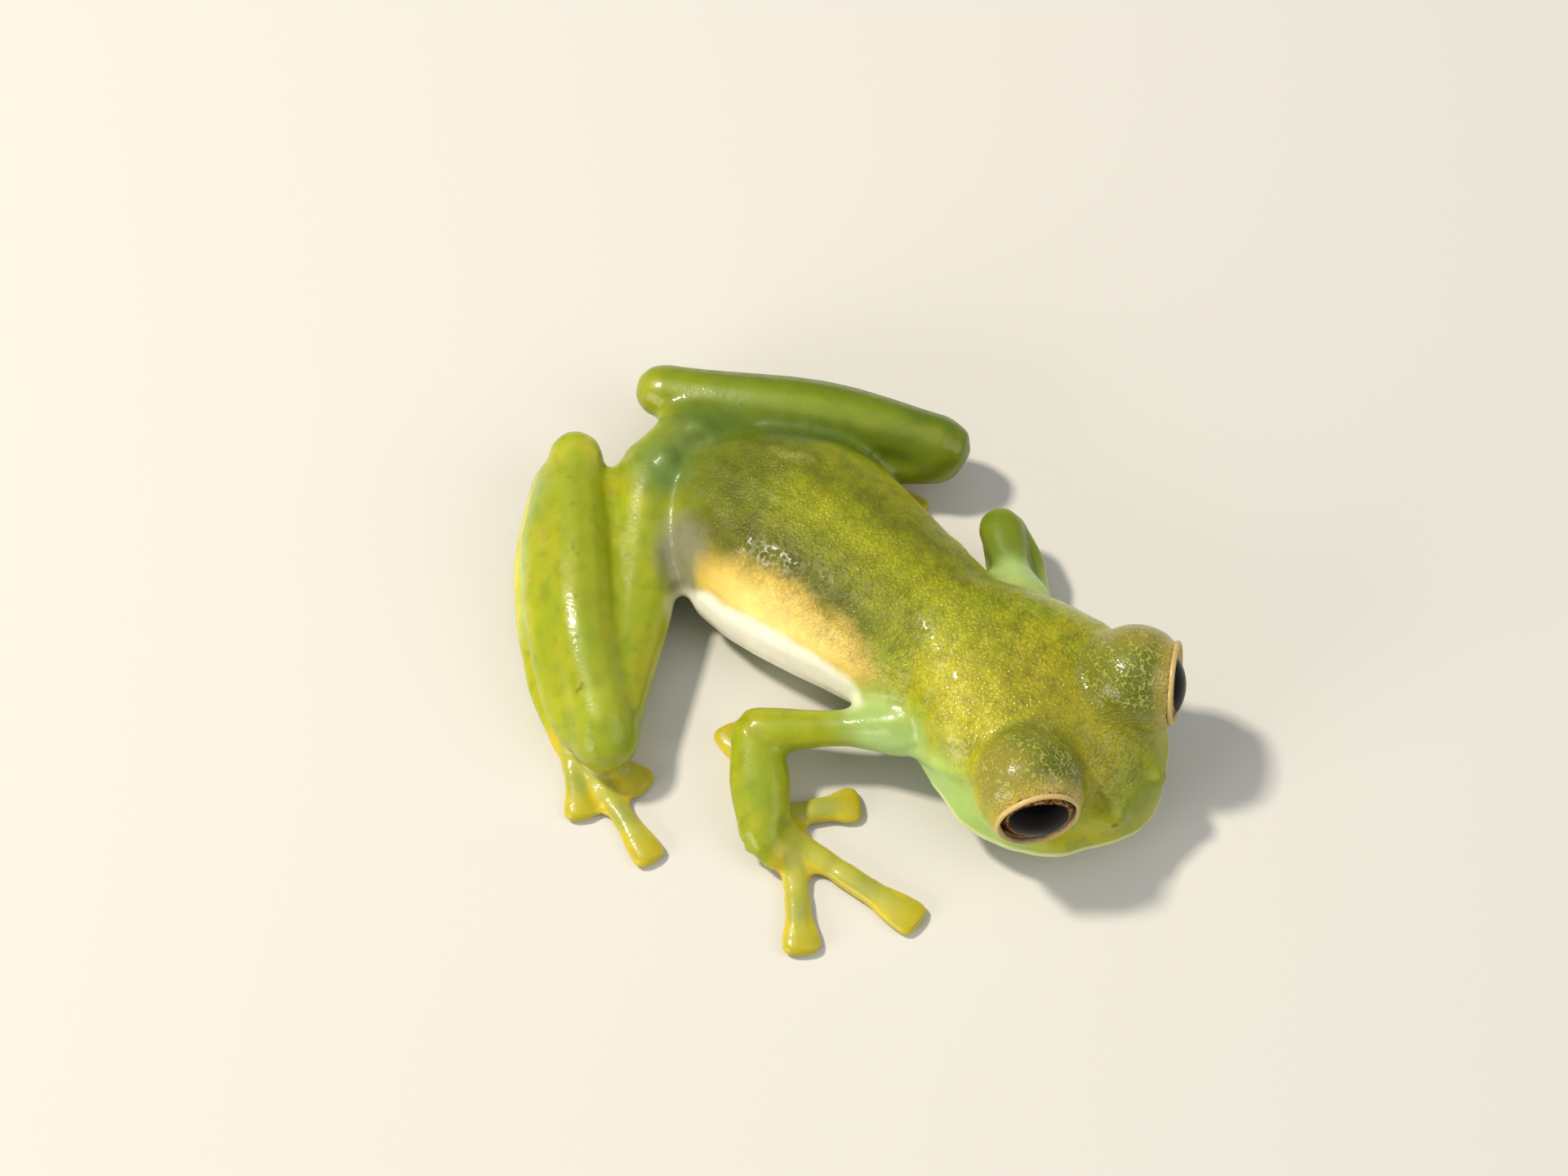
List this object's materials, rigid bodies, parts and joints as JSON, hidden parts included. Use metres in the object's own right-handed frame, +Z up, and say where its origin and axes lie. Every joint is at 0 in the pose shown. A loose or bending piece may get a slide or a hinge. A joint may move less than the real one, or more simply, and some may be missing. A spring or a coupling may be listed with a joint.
{
  "type": "glass frog",
  "caption": "Small translucent green tree frog sitting with folded hind legs, large forward-set eyes, and flat fingers and toes ending in broad pads",
  "frame": {"origin": "on the floor under the middle of the whole figure's outline", "axes": "+X towards the snout, +Y towards the frog's left side, +Z up from the floor"},
  "size_m": [0.0278, 0.0222, 0.0069],
  "materials": {
    "skin": "moist translucent yellow-green skin, finely granular on the back and eyelids",
    "digit_skin": "moist translucent yellow skin with smooth pads",
    "eye": "wet glossy eye with a copper and gold iris round a black pupil"
  },
  "bodies": {
    "root": {"eye_left": "eye", "eye_right": "eye", "finger_left_1": "digit_skin", "finger_left_2": "digit_skin", "finger_left_3": "digit_skin", "finger_left_4": "digit_skin", "finger_right_1": "digit_skin", "finger_right_2": "digit_skin", "finger_right_3": "digit_skin", "finger_right_4": "digit_skin", "foot_left": "skin", "foot_right": "skin", "forearm_left": "skin", "forearm_right": "skin", "hand_left": "skin", "hand_right": "skin", "head": "skin", "shank_left": "skin", "shank_right": "skin", "tarsus_left": "skin", "tarsus_right": "skin", "thigh_left": "skin", "thigh_right": "skin", "toe_left_1": "digit_skin", "toe_left_2": "digit_skin", "toe_left_3": "digit_skin", "toe_left_4": "digit_skin", "toe_left_5": "digit_skin", "toe_right_1": "digit_skin", "toe_right_2": "digit_skin", "toe_right_3": "digit_skin", "toe_right_4": "digit_skin", "toe_right_5": "digit_skin", "torso": "skin", "upper_arm_left": "skin", "upper_arm_right": "skin"}
  },
  "joints": []
}
